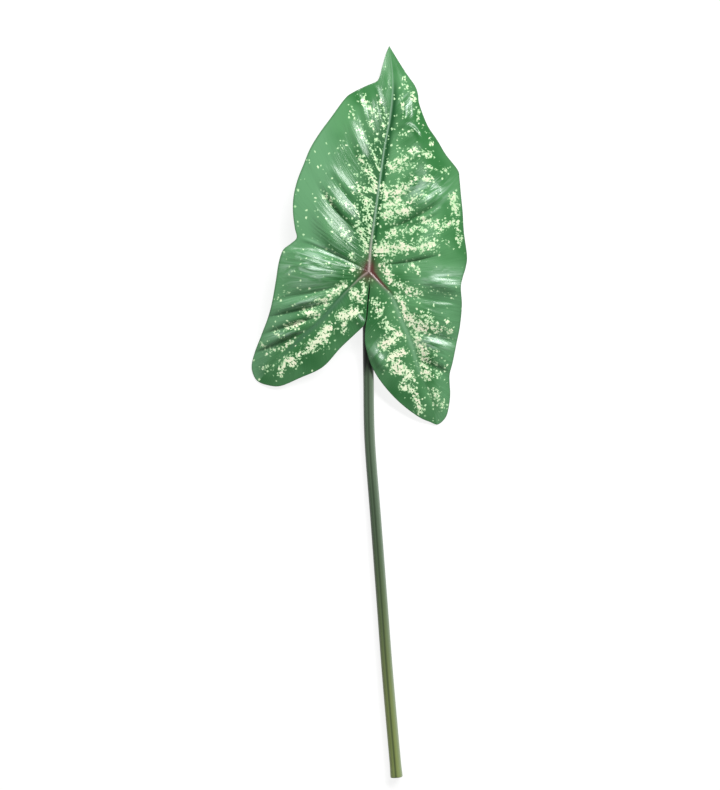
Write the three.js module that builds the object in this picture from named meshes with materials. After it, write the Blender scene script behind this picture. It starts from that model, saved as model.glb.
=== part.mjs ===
// A syngonium leaf, picked and lying face up: an arrow-shaped, quilted blade on its long cut stalk.
// Millimetres, +Z up. The plan is drawn from the point where the main veins meet, with +Y towards the tip.

import * as THREE from 'three';
import { mergeVertices } from 'three/addons/utils/BufferGeometryUtils.js';

// Blade: thickness, and height of the vein junction over the surface
const BLADE_THICKNESS = 0.9;
const JUNCTION_HEIGHT = 18;

// Blade: swelling between two side veins, its height a share of the width from main vein to margin. It leans
// towards the junction, is full some way out from the main vein and ebbs near the margin, later on the lobes.
const SWELL = 0.1;
const SWELL_LEAN = 3;
const SWELL_CREST = (SWELL_LEAN + 1) ** (-1 / SWELL_LEAN);
const SWELL_RISE = 0.55;
const SWELL_LOST_AT_MARGIN = 0.95;
const EBB_DELAY = 0.24;
const EBB_DELAY_START = 0.8;
const EBB_DELAY_END = 1.05;

// Blade: stations where each half stops lying level beside the midrib and follows the dome, how far the side
// veins bend up towards the tip, and where the relief fades out towards the tip and the head of the slit
const LEVEL_FADE_START = 1.15;
const LEVEL_FADE_END = 1.9;
const VEIN_BEND = 0.07;
const BEND_FULL = 0.3;
const BEND_FADE_START = 0.74;
const BEND_FADE_END = 0.9;
const TIP_FADE = 0.1;
const SLIT_FADE = 0.3;

// Blade: ribs below, a deep one under each main vein and a low one under each side vein
const MAIN_RIB_DEPTH = 2.4;
const MAIN_RIB_HALF_WIDTH = 3.2;
const SIDE_RIB_DEPTH = 0.5;
const SIDE_RIB_SHARPNESS = 4;

// Blade: plan of the midrib from tip to junction, the tip itself, and the head of the slit between the lobes
const MIDRIB = [
  [18, 178.5], [19.5, 162.5], [19.5, 145.5], [17, 124], [13, 102.5], [9.5, 78], [5.5, 48.5], [2, 23], [0, 0],
];
const TIP = [17, 186.5];
const SLIT_HEAD = [0.5, -8];

// A half of the blade is one strip between its main veins and its margin, followed by a station number:
// 0 to 1 runs down the midrib to the junction, 1 to 2 out along the lobe's vein, 2 to 3 back beside it.
// Margin points are [station, x, y], and sideVeins are the stations of the sunken veins that cross the strip.
// Each of the swells lies before the side vein of the same place in the list, and swellEbbs are shares of the
// way to the margin. The tilt is the rise of the half towards its margin.
const LEFT_HALF = {
  turn: -1,
  tilt: 0.04,
  swellEbbs: [0.38, 0.8],
  lobeVein: [[0, 0], [-8.5, -6.5], [-21, -19], [-38, -38], [-54, -52], [-79.5, -76.5]],
  sideVeins: [0.175, 0.275, 0.35, 0.5, 0.6, 0.9, 1.24, 1.44, 1.56, 1.72, 2, 2.24, 2.48, 2.68],
  swells: [0.1, 0.15, 0.15, 0.1, 0.45, 0.7, 1.05, 0.7, 0.65, 0.85, 0.4, 0.25, 0.25, 0.25, 0.2],
  margin: [
    [0, ...TIP], [0.042, 14, 179], [0.091, 11.5, 170], [0.135, 9.5, 162], [0.158, 8, 158],
    [0.175, 6, 156], [0.233, -2, 152.5], [0.294, -13.5, 146.5], [0.314, -19.5, 141.5], [0.382, -31, 125.5],
    [0.477, -40, 113], [0.545, -47.5, 100.5], [0.616, -53, 87], [0.725, -58, 74], [0.788, -61, 61],
    [0.823, -61.5, 48.5], [0.863, -60, 35.5], [0.9, -58.5, 27.5], [0.956, -63.5, 22.5], [1.03, -69.5, 17.5],
    [1.09, -73, 7.5], [1.165, -75.5, -8], [1.24, -78.5, -24.5], [1.44, -82, -37], [1.56, -87.5, -51],
    [1.72, -93.5, -66], [1.84, -96, -76.5], [1.93, -94.5, -84], [2, -91, -89], [2.06, -84, -92],
    [2.13, -72.5, -93], [2.24, -56.5, -86.5], [2.36, -37.5, -77.5], [2.5, -22.5, -61.5], [2.64, -6, -46],
    [2.67, -3.5, -43], [2.72, -2, -37], [2.83, -1, -24.5], [2.92, 0, -15], [3, ...SLIT_HEAD],
  ],
};
const RIGHT_HALF = {
  turn: 1,
  tilt: 0.02,
  swellEbbs: [0.5, 0.8],
  lobeVein: [[0, 0], [11, -11.5], [19, -20.5], [27.5, -40.5], [35, -59], [40.5, -78], [52, -106]],
  sideVeins: [0.125, 0.2, 0.25, 0.325, 0.425, 0.55, 0.8, 1.32, 1.6, 1.76, 2, 2.2, 2.44, 2.68],
  swells: [0.2, 0.9, 0.2, 0.3, 0.35, 0.75, 0.5, 0.2, 0.75, 1, 0.6, 0.25, 0.25, 0.25, 0.2],
  margin: [
    [0, ...TIP], [0.018, 20, 181.5], [0.049, 25, 173], [0.088, 31.5, 162.5], [0.125, 38, 153],
    [0.152, 40.5, 145.5], [0.181, 41.5, 137.5], [0.25, 48, 120], [0.325, 56, 107.5], [0.389, 63, 95.5],
    [0.472, 72.5, 83], [0.519, 74, 75.5], [0.58, 75, 64], [0.644, 76.5, 48.5], [0.717, 77.5, 32],
    [0.866, 80, 13], [1, 79, 3.5], [1.11, 76.5, -5], [1.2, 75, -13], [1.32, 76, -27],
    [1.48, 74.5, -44.5], [1.6, 72, -57.5], [1.7, 69, -73], [1.76, 66.5, -83], [1.81, 66.5, -91],
    [1.86, 67, -99.5], [1.91, 66, -109.5], [1.96, 63.5, -118.5], [2, 57, -124.5], [2.05, 50.5, -122.5],
    [2.11, 41.5, -118.5], [2.19, 29, -109.5], [2.27, 18, -99], [2.36, 8, -86.5], [2.44, 2, -75.5],
    [2.51, -1, -66.5], [2.59, -3, -56], [2.66, -2.5, -45], [2.73, -1, -36], [2.83, 0, -24.5],
    [2.92, 1, -15], [3, ...SLIT_HEAD],
  ],
};
const JUNCTION = 1;
const LOBE_END = 2;
const LAST_STATION = 3;
const MIDRIB_CROWDING = 2.2;
const LOBE_CROWDING = 1.4;

// Blade: mesh. Rows fall on the side veins, and columns are closer near the main veins.
const MIDRIB_ROWS = 40;
const LOBE_ROWS = 25;
const COLUMNS = 10;
const COLUMN_CROWDING = 1.5;

// Stalk: plan from under the junction to the cut end, and radii
const STALK_PLAN = [
  [0, 7], [-0.5, -22], [-0.5, -55], [0, -88], [1, -137.5], [6, -203], [11, -269], [16, -334.5], [23, -413.5],
];
const STALK_RADIUS_TOP = 4.2;
const STALK_RADIUS_FOOT = 4.7;
const STALK_TIP_RADIUS = 1.5;
const STALK_TIP_LENGTH = 24;
const STALK_FLARE = 0.3;
const STALK_FLARE_LENGTH = 12;
const STALK_CUT_BEVEL = 0.7;

// Stalk: the stretch of the plan, in Y, where it climbs from the surface to just under the main rib
const CLIMB_START = -104;
const CLIMB_END = -6;
const JOINT_GAP = 0.3;

// Stalk: the groove along its upper side, as angles round the stalk from straight up
const GROOVE_DEPTH = 0.55;
const GROOVE_ANGLE = 0.17;
const GROOVE_HALF_ANGLE = 0.2;

// Stalk: mesh
const STALK_SIDES = 24;
const STALK_STEPS = 56;

const bladeGreen = new THREE.MeshStandardMaterial({ color: 0x4f9a56, roughness: 0.4, metalness: 0 });
const stalkGreen = new THREE.MeshStandardMaterial({ color: 0x62784f, roughness: 0.45, metalness: 0 });

const ease = (x, from, to) => THREE.MathUtils.smoothstep(x, from, to);
const hump = (t) => 4 * t * (1 - t);
const bell = (t) => Math.exp(-t * t);
const curveThrough = (points) => new THREE.SplineCurve(points.map(([x, y]) => new THREE.Vector2(x, y)));

/** A half with smooth curves through the points of its lobe's vein and of its margin. */
function withCurves(half) {
  const marginCurve = curveThrough(half.margin.map(([, x, y]) => [x, y]));
  return { ...half, lobeCurve: curveThrough(half.lobeVein), marginCurve };
}

/** The blade's dome: JUNCTION_HEIGHT high at the junction, with its under face at height 0 at three feet. */
function domeThrough(feet) {
  const terms = feet.flatMap(([x, y]) => [x * x, y * y, y]);
  const drop = new THREE.Vector3().setScalar(JUNCTION_HEIGHT - BLADE_THICKNESS);
  const fall = drop.applyMatrix3(new THREE.Matrix3(...terms).invert());
  return (x, y) => JUNCTION_HEIGHT - fall.x * x * x - fall.y * y * y - fall.z * y;
}

const midribCurve = curveThrough(MIDRIB);
const halves = [LEFT_HALF, RIGHT_HALF].map(withCurves);
const lobeEnds = halves.map(({ margin }) => margin.find(([station]) => station === LOBE_END).slice(1));
const dome = domeThrough([TIP, ...lobeEnds]);

/** The point of the half's main veins at a station. */
function spinePoint(half, station) {
  if (station <= JUNCTION) return midribCurve.getPointAt(1 - (JUNCTION - station) ** MIDRIB_CROWDING);
  const reach = station <= LOBE_END ? station - JUNCTION : LAST_STATION - station;
  return half.lobeCurve.getPointAt(Math.max(reach, 0) ** LOBE_CROWDING);
}

/** The point of the half's margin at a station, on a smooth curve through its margin points. */
function marginPoint(half, station) {
  const { margin } = half;
  const next = Math.max(1, margin.findIndex(([at]) => at >= station));
  const [from, to] = [margin[next - 1][0], margin[next][0]];
  return half.marginCurve.getPoint((next - 1 + (station - from) / (to - from)) / (margin.length - 1));
}

/** How far a station is from one side vein to the next, and how much the blade swells between them. */
function betweenVeins(half, station) {
  const veins = [0, ...half.sideVeins, LAST_STATION];
  const next = Math.max(1, veins.findIndex((at) => at >= station));
  const between = (station - veins[next - 1]) / (veins[next] - veins[next - 1]);
  return { between, strength: half.swells[next - 1] };
}

/** The swelling from one side vein to the next: a long even rise to 1, then a steep fall. */
function swelling(between) {
  return (between / SWELL_CREST) * (1 - between ** SWELL_LEAN) * (SWELL_LEAN + 1) / SWELL_LEAN;
}

/** The share of the swelling that is left on the way from main vein to margin. */
function swellSpread(half, station, share) {
  const later = EBB_DELAY * ease(station, EBB_DELAY_START, EBB_DELAY_END);
  const [ebbStart, ebbEnd] = half.swellEbbs;
  const ebb = 1 - SWELL_LOST_AT_MARGIN * ease(share, ebbStart + later, ebbEnd + later);
  return ease(share, 0, SWELL_RISE) * ebb;
}

/** A plan point a share of the way from main vein to margin, along a row that bends up towards the tip. */
function planPoint(half, station, spine, margin, share) {
  const across = margin.clone().sub(spine);
  const bend = VEIN_BEND * ease(station, 0, BEND_FULL) * (1 - ease(station, BEND_FADE_START, BEND_FADE_END));
  const aside = new THREE.Vector2(across.y, -across.x).multiplyScalar(half.turn * bend * hump(share));
  return spine.clone().addScaledVector(across, share).add(aside);
}

/** Upper and lower surface points of a half, at a station and a share of the way from main vein to margin. */
function bladePoints(half, station, share) {
  const spine = spinePoint(half, station);
  const margin = marginPoint(half, station);
  const width = spine.distanceTo(margin);
  const { x, y } = planPoint(half, station, spine, margin, share);

  const fade = ease(station, 0, TIP_FADE) * (1 - ease(station, LAST_STATION - SLIT_FADE, LAST_STATION));
  const level = dome(spine.x, y) - dome(x, y) + half.tilt * share * width;
  const lift = level * (1 - ease(station, LEVEL_FADE_START, LEVEL_FADE_END));
  const { between, strength } = betweenVeins(half, station);
  const swell = SWELL * width * strength * swelling(between) * swellSpread(half, station, share);
  const top = dome(x, y) + fade * (lift + swell);

  const taper = station <= JUNCTION ? station : Math.abs(station - LOBE_END);
  const mainRib = MAIN_RIB_DEPTH * taper * bell(share * width / MAIN_RIB_HALF_WIDTH);
  const sideRib = SIDE_RIB_DEPTH * fade * hump(share) * (1 - hump(between)) ** SIDE_RIB_SHARPNESS;
  return [new THREE.Vector3(x, y, top), new THREE.Vector3(x, y, top - BLADE_THICKNESS - mainRib - sideRib)];
}

/** Every row's station, from the tip to the head of the slit. */
function rowStations() {
  const midrib = Array.from({ length: MIDRIB_ROWS }, (_, i) => i / MIDRIB_ROWS);
  const lobe = Array.from({ length: 2 * LOBE_ROWS + 1 }, (_, i) => JUNCTION + i / LOBE_ROWS);
  return [...midrib, ...lobe];
}

/** The blade as one closed solid: both faces split alike, and a wall along the margin. */
function bladeGeometry() {
  const position = [];
  const index = [];
  const stations = rowStations();

  /** Two triangles across the corners a, b, c, d, turned to face outwards. */
  function quad(turn, a, b, c, d) {
    index.push(...(turn > 0 ? [a, b, d, b, c, d] : [d, b, a, d, c, b]));
  }

  for (const half of halves) {
    const start = position.length / 3;
    const corner = (row, column, lower) => start + 2 * (row * (COLUMNS + 1) + column) + lower;
    for (const station of stations) {
      for (let column = 0; column <= COLUMNS; column += 1) {
        const pair = bladePoints(half, station, (column / COLUMNS) ** COLUMN_CROWDING);
        for (const point of pair) position.push(...point.toArray());
      }
    }
    for (let row = 0; row < stations.length - 1; row += 1) {
      for (let column = 0; column < COLUMNS; column += 1) {
        for (const lower of [0, 1]) {
          const [a, b] = [corner(row, column, lower), corner(row + 1, column, lower)];
          const [c, d] = [corner(row + 1, column + 1, lower), corner(row, column + 1, lower)];
          quad(lower ? -half.turn : half.turn, a, b, c, d);
        }
      }
      const [a, b] = [corner(row, COLUMNS, 0), corner(row + 1, COLUMNS, 0)];
      const [c, d] = [corner(row + 1, COLUMNS, 1), corner(row, COLUMNS, 1)];
      quad(half.turn, a, b, c, d);
    }
  }
  const geometry = new THREE.BufferGeometry();
  geometry.setAttribute('position', new THREE.Float32BufferAttribute(position, 3));
  geometry.setIndex(index);
  return mergeVertices(geometry);
}

/** The stalk's radius at a distance from its blade end, before the groove and the bevel of the cut. */
function stalkRadius(along, length) {
  const body = THREE.MathUtils.lerp(STALK_RADIUS_TOP, STALK_RADIUS_FOOT, along / length);
  const flare = STALK_FLARE * ease(along, length - STALK_FLARE_LENGTH, length);
  return THREE.MathUtils.lerp(STALK_TIP_RADIUS, body, ease(along, 0, STALK_TIP_LENGTH)) + flare;
}

/** The stalk: a grooved rod that lies flat on the surface and climbs to the underside of the blade. */
function stalkGeometry() {
  const path = curveThrough(STALK_PLAN);
  const length = path.getLength();
  const seat = JUNCTION_HEIGHT - BLADE_THICKNESS - MAIN_RIB_DEPTH - JOINT_GAP;
  const geometry = new THREE.CylinderGeometry(1, 1, 1, STALK_SIDES, STALK_STEPS);
  const flatSideDown = Math.PI / STALK_SIDES;
  geometry.rotateY(flatSideDown);
  const { position } = geometry.attributes;
  const point = new THREE.Vector3();

  for (let i = 0; i < position.count; i += 1) {
    point.fromBufferAttribute(position, i);
    const ring = Math.round((0.5 - point.y) * STALK_STEPS);
    const isCut = ring === STALK_STEPS;
    const along = isCut ? length : (length - STALK_CUT_BEVEL) * ring / (STALK_STEPS - 1);
    const plan = path.getPointAt(along / length);
    const ahead = path.getTangentAt(along / length);

    const radius = stalkRadius(along, length);
    const climb = ease(plan.y, CLIMB_START, CLIMB_END);
    const height = THREE.MathUtils.lerp(radius * Math.cos(flatSideDown), seat - radius, climb);

    const angle = Math.atan2(point.x, point.z);
    const groove = GROOVE_DEPTH * bell((angle + GROOVE_ANGLE) / GROOVE_HALF_ANGLE);
    const inset = groove * ease(along, 0, STALK_TIP_LENGTH) + (isCut ? STALK_CUT_BEVEL : 0);
    const reach = Math.hypot(point.x, point.z) * (radius - inset);
    const side = -reach * Math.sin(angle);
    position.setXYZ(i, plan.x + side * ahead.y, plan.y - side * ahead.x, height + reach * Math.cos(angle));
  }
  geometry.deleteAttribute('normal');
  geometry.deleteAttribute('uv');
  return mergeVertices(geometry);
}

const leafBlade = new THREE.Mesh(bladeGeometry(), bladeGreen);
leafBlade.name = 'leaf_blade';
const stalk = new THREE.Mesh(stalkGeometry(), stalkGreen);
stalk.name = 'stalk';

// The leaf lies on its lowest points, with the middle of its length and width over the origin
const leaf = new THREE.Group();
leaf.add(leafBlade, stalk);
const box = new THREE.Box3().setFromObject(leaf);
const centre = box.getCenter(new THREE.Vector3());
leaf.position.set(-centre.x, -centre.y, -box.min.z);

export default leaf;
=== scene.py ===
"""A picked syngonium leaf lying face up: its quilted, flecked blade and its cut stalk, in a plain studio.

Sizes in the dataclass fields are millimetres. Plan points are measured from the junction of the main veins, with
+Y towards the blade's tip. Meshes are made in metres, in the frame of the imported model.
"""

import logging
import math
from bisect import bisect_left
from dataclasses import dataclass, field
from enum import Enum
from functools import cached_property
from typing import Any, NamedTuple

import bmesh
import bpy
from mathutils import Matrix, Vector


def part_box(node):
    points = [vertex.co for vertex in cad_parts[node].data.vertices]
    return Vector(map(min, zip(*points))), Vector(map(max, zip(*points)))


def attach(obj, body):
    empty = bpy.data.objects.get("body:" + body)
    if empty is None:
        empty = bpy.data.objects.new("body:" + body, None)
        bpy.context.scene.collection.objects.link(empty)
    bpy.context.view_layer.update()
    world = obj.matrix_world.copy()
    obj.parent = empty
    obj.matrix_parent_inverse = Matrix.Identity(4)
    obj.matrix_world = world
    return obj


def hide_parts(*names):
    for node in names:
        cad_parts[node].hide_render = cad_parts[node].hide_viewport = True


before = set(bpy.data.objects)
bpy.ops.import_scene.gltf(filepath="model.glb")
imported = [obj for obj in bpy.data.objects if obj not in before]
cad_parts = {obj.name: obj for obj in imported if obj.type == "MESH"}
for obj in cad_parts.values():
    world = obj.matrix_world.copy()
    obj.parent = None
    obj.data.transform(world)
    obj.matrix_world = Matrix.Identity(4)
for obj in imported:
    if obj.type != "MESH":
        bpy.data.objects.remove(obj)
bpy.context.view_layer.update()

MM = 0.001
# Points this near, in millimetres, are one; a station this near to a vein is on it
MERGE = 0.001
ON_VEIN = 1e-9
WHITE = (1.0, 1.0, 1.0, 1.0)
BODY = "root"
LOG = logging.getLogger("leaf")

Point = tuple[float, float]
Colour = tuple[int, int, int]
Socket = bpy.types.NodeSocket
Mesh = bmesh.types.BMesh
Layers = dict[str, Any]

# Stations along a half of the blade, which start at the tip with 0
JUNCTION = 1.0
LOBE_END = 2.0
SLIT = 3.0


def ease(x: float, start: float, end: float) -> float:
    """Rise smoothly from 0 at start to 1 at end."""
    t = min(max((x - start) / (end - start), 0.0), 1.0)
    return t * t * (3.0 - 2.0 * t)


def hump(t: float) -> float:
    """Return 0 at both ends of 0 to 1, and 1 halfway."""
    return 4.0 * t * (1.0 - t)


def bell(t: float) -> float:
    """Return a bell curve that is 1 at 0."""
    return math.exp(-t * t)


def blend(first: float, second: float, share: float) -> float:
    """Return the value a share of the way from first to second."""
    return first + (second - first) * share


def linear(colour: Colour) -> tuple[float, float, float, float]:
    """Return a display colour of 0 to 255 as the linear colour that a shader takes."""
    parts = (value / 255.0 for value in colour)
    return (*(part / 12.92 if part <= 0.04045 else ((part + 0.055) / 1.055) ** 2.4 for part in parts), 1.0)


@dataclass(frozen=True)
class SmoothCurve:
    """A smooth plane curve through a few points."""

    points: tuple[Point, ...]
    samples: int = 200

    def at(self, share: float) -> Vector:
        """Return the point a share of the way through the list of points.

        Args:
            share: 0 at the first point, 1 at the last, with equal steps between neighbours.

        Returns:
            The point, in millimetres.
        """
        last = len(self.points) - 1
        place = min(max(share, 0.0), 1.0) * last
        index = min(int(place), last - 1)
        t = place - index
        before, start, end, after = (
            Vector(self.points[min(max(i, 0), last)]) for i in range(index - 1, index + 3)
        )
        leave, arrive = (end - before) / 2.0, (after - start) / 2.0
        cubic = 2.0 * (start - end) + leave + arrive
        square = 3.0 * (end - start) - 2.0 * leave - arrive
        return ((cubic * t + square) * t + leave) * t + start

    @cached_property
    def lengths(self) -> list[float]:
        """Lengths along the curve at even samples."""
        spots = [self.at(i / self.samples) for i in range(self.samples + 1)]
        total = [0.0]
        for first, second in zip(spots, spots[1:]):
            total.append(total[-1] + (second - first).length)
        return total

    def along(self, share: float) -> Vector:
        """Return the point at a share of the curve's length.

        Args:
            share: 0 at the start, 1 at the end.

        Returns:
            The point, in millimetres.
        """
        target = min(max(share, 0.0), 1.0) * self.lengths[-1]
        upper = max(1, bisect_left(self.lengths, target))
        low, high = self.lengths[upper - 1], self.lengths[min(upper, self.samples)]
        part = (target - low) / (high - low) if high > low else 0.0
        return self.at((upper - 1 + part) / self.samples)


@dataclass(frozen=True)
class Fold:
    """A small fold of the blade along a plan line, highest halfway."""

    line: SmoothCurve
    height: float
    half_width: float
    steps: int = 24

    @cached_property
    def spots(self) -> list[Vector]:
        """Even points along the line."""
        return [self.line.along(i / self.steps) for i in range(self.steps + 1)]

    def lift(self, plan: Vector) -> float:
        """Return how far the fold lifts the blade.

        Args:
            plan: A plan point.

        Returns:
            The lift, in millimetres.
        """
        gaps = [(plan - spot).length_squared for spot in self.spots]
        nearest = min(range(len(gaps)), key=gaps.__getitem__)
        return self.height * hump(nearest / self.steps) * bell(gaps[nearest] ** 0.5 / self.half_width)


class Side(Enum):
    """The halves of the blade, seen from above with the tip away from the viewer."""

    LEFT = -1
    RIGHT = 1


@dataclass(frozen=True)
class BladeHalf:
    """One half of the blade, a strip between its main veins and its margin.

    A station number follows the strip: 0 to 1 runs down the midrib to the junction, 1 to 2 out along the lobe's
    vein, 2 to 3 back on its other side. Margin points are station, x and y.
    """

    side: Side
    tilt: float
    ripple_peak: Point
    swell_ebbs: Point
    lobe_vein: SmoothCurve
    side_veins: tuple[float, ...]
    swells: tuple[float, ...]
    margin: tuple[tuple[float, float, float], ...]

    @property
    def right(self) -> bool:
        """Whether this is the right half."""
        return self.side is Side.RIGHT

    @cached_property
    def margin_curve(self) -> SmoothCurve:
        """A smooth curve through the margin points."""
        return SmoothCurve(tuple((x, y) for _, x, y in self.margin))

    def margin_at(self, station: float) -> Vector:
        """Return the margin's point at a station.

        Args:
            station: Place along the strip.

        Returns:
            The point, in millimetres.
        """
        stations = [at for at, _, _ in self.margin]
        upper = min(max(1, bisect_left(stations, station)), len(stations) - 1)
        part = (station - stations[upper - 1]) / (stations[upper] - stations[upper - 1])
        return self.margin_curve.at((upper - 1 + part) / (len(stations) - 1))

    def between_veins(self, station: float) -> Point:
        """Return where a station lies between two side veins.

        Args:
            station: Place along the strip.

        Returns:
            How far it is from one vein to the next, from 0 to 1, and how much the blade swells there.
        """
        veins = (0.0, *self.side_veins, SLIT)
        upper = min(max(1, bisect_left(veins, station - ON_VEIN)), len(veins) - 1)
        part = (station - veins[upper - 1]) / (veins[upper] - veins[upper - 1])
        return part, self.swells[upper - 1]


TIP = (17.0, 186.5)
SLIT_HEAD = (0.5, -8.0)
LEFT_HALF = BladeHalf(
    side=Side.LEFT,
    tilt=0.04,
    ripple_peak=(1.08, 0.17),
    swell_ebbs=(0.38, 0.8),
    lobe_vein=SmoothCurve(((0, 0), (-8.5, -6.5), (-21, -19), (-38, -38), (-54, -52), (-79.5, -76.5))),
    side_veins=(0.175, 0.275, 0.35, 0.5, 0.6, 0.9, 1.24, 1.44, 1.56, 1.72, 2, 2.24, 2.48, 2.68),
    swells=(0.1, 0.15, 0.15, 0.1, 0.45, 0.7, 1.05, 0.7, 0.65, 0.85, 0.4, 0.25, 0.25, 0.25, 0.2),
    margin=(
        (0, *TIP), (0.042, 14, 179), (0.091, 11.5, 170), (0.135, 9.5, 162), (0.158, 8, 158),
        (0.175, 6, 156), (0.233, -2, 152.5), (0.294, -13.5, 146.5), (0.314, -19.5, 141.5),
        (0.382, -31, 125.5), (0.477, -40, 113), (0.545, -47.5, 100.5), (0.616, -53, 87), (0.725, -58, 74),
        (0.788, -61, 61), (0.823, -61.5, 48.5), (0.863, -60, 35.5), (0.9, -58.5, 27.5), (0.956, -63.5, 22.5),
        (1.03, -69.5, 17.5), (1.09, -73, 7.5), (1.165, -75.5, -8), (1.24, -78.5, -24.5), (1.44, -82, -37),
        (1.56, -87.5, -51), (1.72, -93.5, -66), (1.84, -96, -76.5), (1.93, -94.5, -84), (2, -91, -89),
        (2.06, -84, -92), (2.13, -72.5, -93), (2.24, -56.5, -86.5), (2.36, -37.5, -77.5),
        (2.5, -22.5, -61.5), (2.64, -6, -46), (2.67, -3.5, -43), (2.72, -2, -37), (2.83, -1, -24.5),
        (2.92, 0, -15), (3, *SLIT_HEAD),
    ),
)
RIGHT_HALF = BladeHalf(
    side=Side.RIGHT,
    tilt=0.02,
    ripple_peak=(1.7, 0.1),
    swell_ebbs=(0.5, 0.8),
    lobe_vein=SmoothCurve(((0, 0), (11, -11.5), (19, -20.5), (27.5, -40.5), (35, -59), (40.5, -78), (52, -106))),
    side_veins=(0.125, 0.2, 0.25, 0.325, 0.425, 0.55, 0.8, 1.32, 1.6, 1.76, 2, 2.2, 2.44, 2.68),
    swells=(0.2, 0.9, 0.2, 0.3, 0.35, 0.75, 0.5, 0.2, 0.75, 1, 0.6, 0.25, 0.25, 0.25, 0.2),
    margin=(
        (0, *TIP), (0.018, 20, 181.5), (0.049, 25, 173), (0.088, 31.5, 162.5), (0.125, 38, 153),
        (0.152, 40.5, 145.5), (0.181, 41.5, 137.5), (0.25, 48, 120), (0.325, 56, 107.5), (0.389, 63, 95.5),
        (0.472, 72.5, 83), (0.519, 74, 75.5), (0.58, 75, 64), (0.644, 76.5, 48.5), (0.717, 77.5, 32),
        (0.866, 80, 13), (1, 79, 3.5), (1.11, 76.5, -5), (1.2, 75, -13), (1.32, 76, -27),
        (1.48, 74.5, -44.5), (1.6, 72, -57.5), (1.7, 69, -73), (1.76, 66.5, -83), (1.81, 66.5, -91),
        (1.86, 67, -99.5), (1.91, 66, -109.5), (1.96, 63.5, -118.5), (2, 57, -124.5), (2.05, 50.5, -122.5),
        (2.11, 41.5, -118.5), (2.19, 29, -109.5), (2.27, 18, -99), (2.36, 8, -86.5), (2.44, 2, -75.5),
        (2.51, -1, -66.5), (2.59, -3, -56), (2.66, -2.5, -45), (2.73, -1, -36), (2.83, 0, -24.5),
        (2.92, 1, -15), (3, *SLIT_HEAD),
    ),
)

# Small folds that stand out of the upper face: plan line, height and half width
FOLD_LINES = (
    (((23.5, 117.5), (29, 119.5), (34, 118.5), (39, 114.5), (42.5, 107.5)), 1.3, 1.4),
    (((29, 39.5), (43, 43.5), (53, 48.5), (60, 53.5)), 2.2, 2.3),
    (((34, 55), (46, 60), (60, 65)), 2.0, 6.0),
    (((-56.5, 26.5), (-46.5, 24), (-36, 19)), 0.9, 1.6),
    (((6, 153), (8.5, 144), (11.5, 134)), 0.7, 1.5),
    (((-10, 149.5), (-5.5, 136.5), (-1, 122)), 0.9, 2.2),
    (((-15, 124), (-9.5, 108), (-2, 90)), 1.2, 3.0),
    (((-33, 87), (-24, 75.5), (-11, 60)), 1.9, 4.5),
    (((-59, -19), (-43, -15), (-27.5, -13)), 0.9, 1.6),
    (((-64.5, -27), (-53, -24.5), (-41.5, -24.5)), 0.9, 1.6),
    (((-77, -56), (-64.5, -50), (-52, -47.5)), 0.9, 1.6),
    (((45, -7), (61, -11), (78, -15)), 2.6, 5.0),
    (((50.5, -26.5), (61, -27), (71, -27.5)), 0.9, 1.6),
    (((36, -51), (55, -57.5), (72, -63)), 2.4, 4.6),
    (((-1, -59), (6, -69), (14, -81)), 3.0, 4.6),
    (((-11, -36), (-6, -41), (-3, -46)), 1.8, 3.0),
)
FOLDS = tuple(Fold(SmoothCurve(line), height, half_width) for line, height, half_width in FOLD_LINES)

# Slow waves that make the ripples wander: strength, and turn for a whole row and for a millimetre of flow
RIPPLE_WAVES = ((1.6, 7.0, 0.11), (1.2, -12.0, 0.31))

# Where painted sheen streaks the upper face, with the wisp bump: plan point, half width, half height and strength
PAINTED_SHEEN_SPOTS = (
    (-48, 4, 19, 13, 1), (-38, 13, 16, 8, 0.8), (48, 67, 15, 9, 1), (60, -5, 14, 6, 1), (56, -57, 15, 5, 1),
    (31, 138, 5, 9, 0.7), (-50, -26, 20, 3.5, 0.7), (-70, -51, 14, 3.5, 0.7), (7, -66, 6, 9, 0.6),
)

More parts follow.
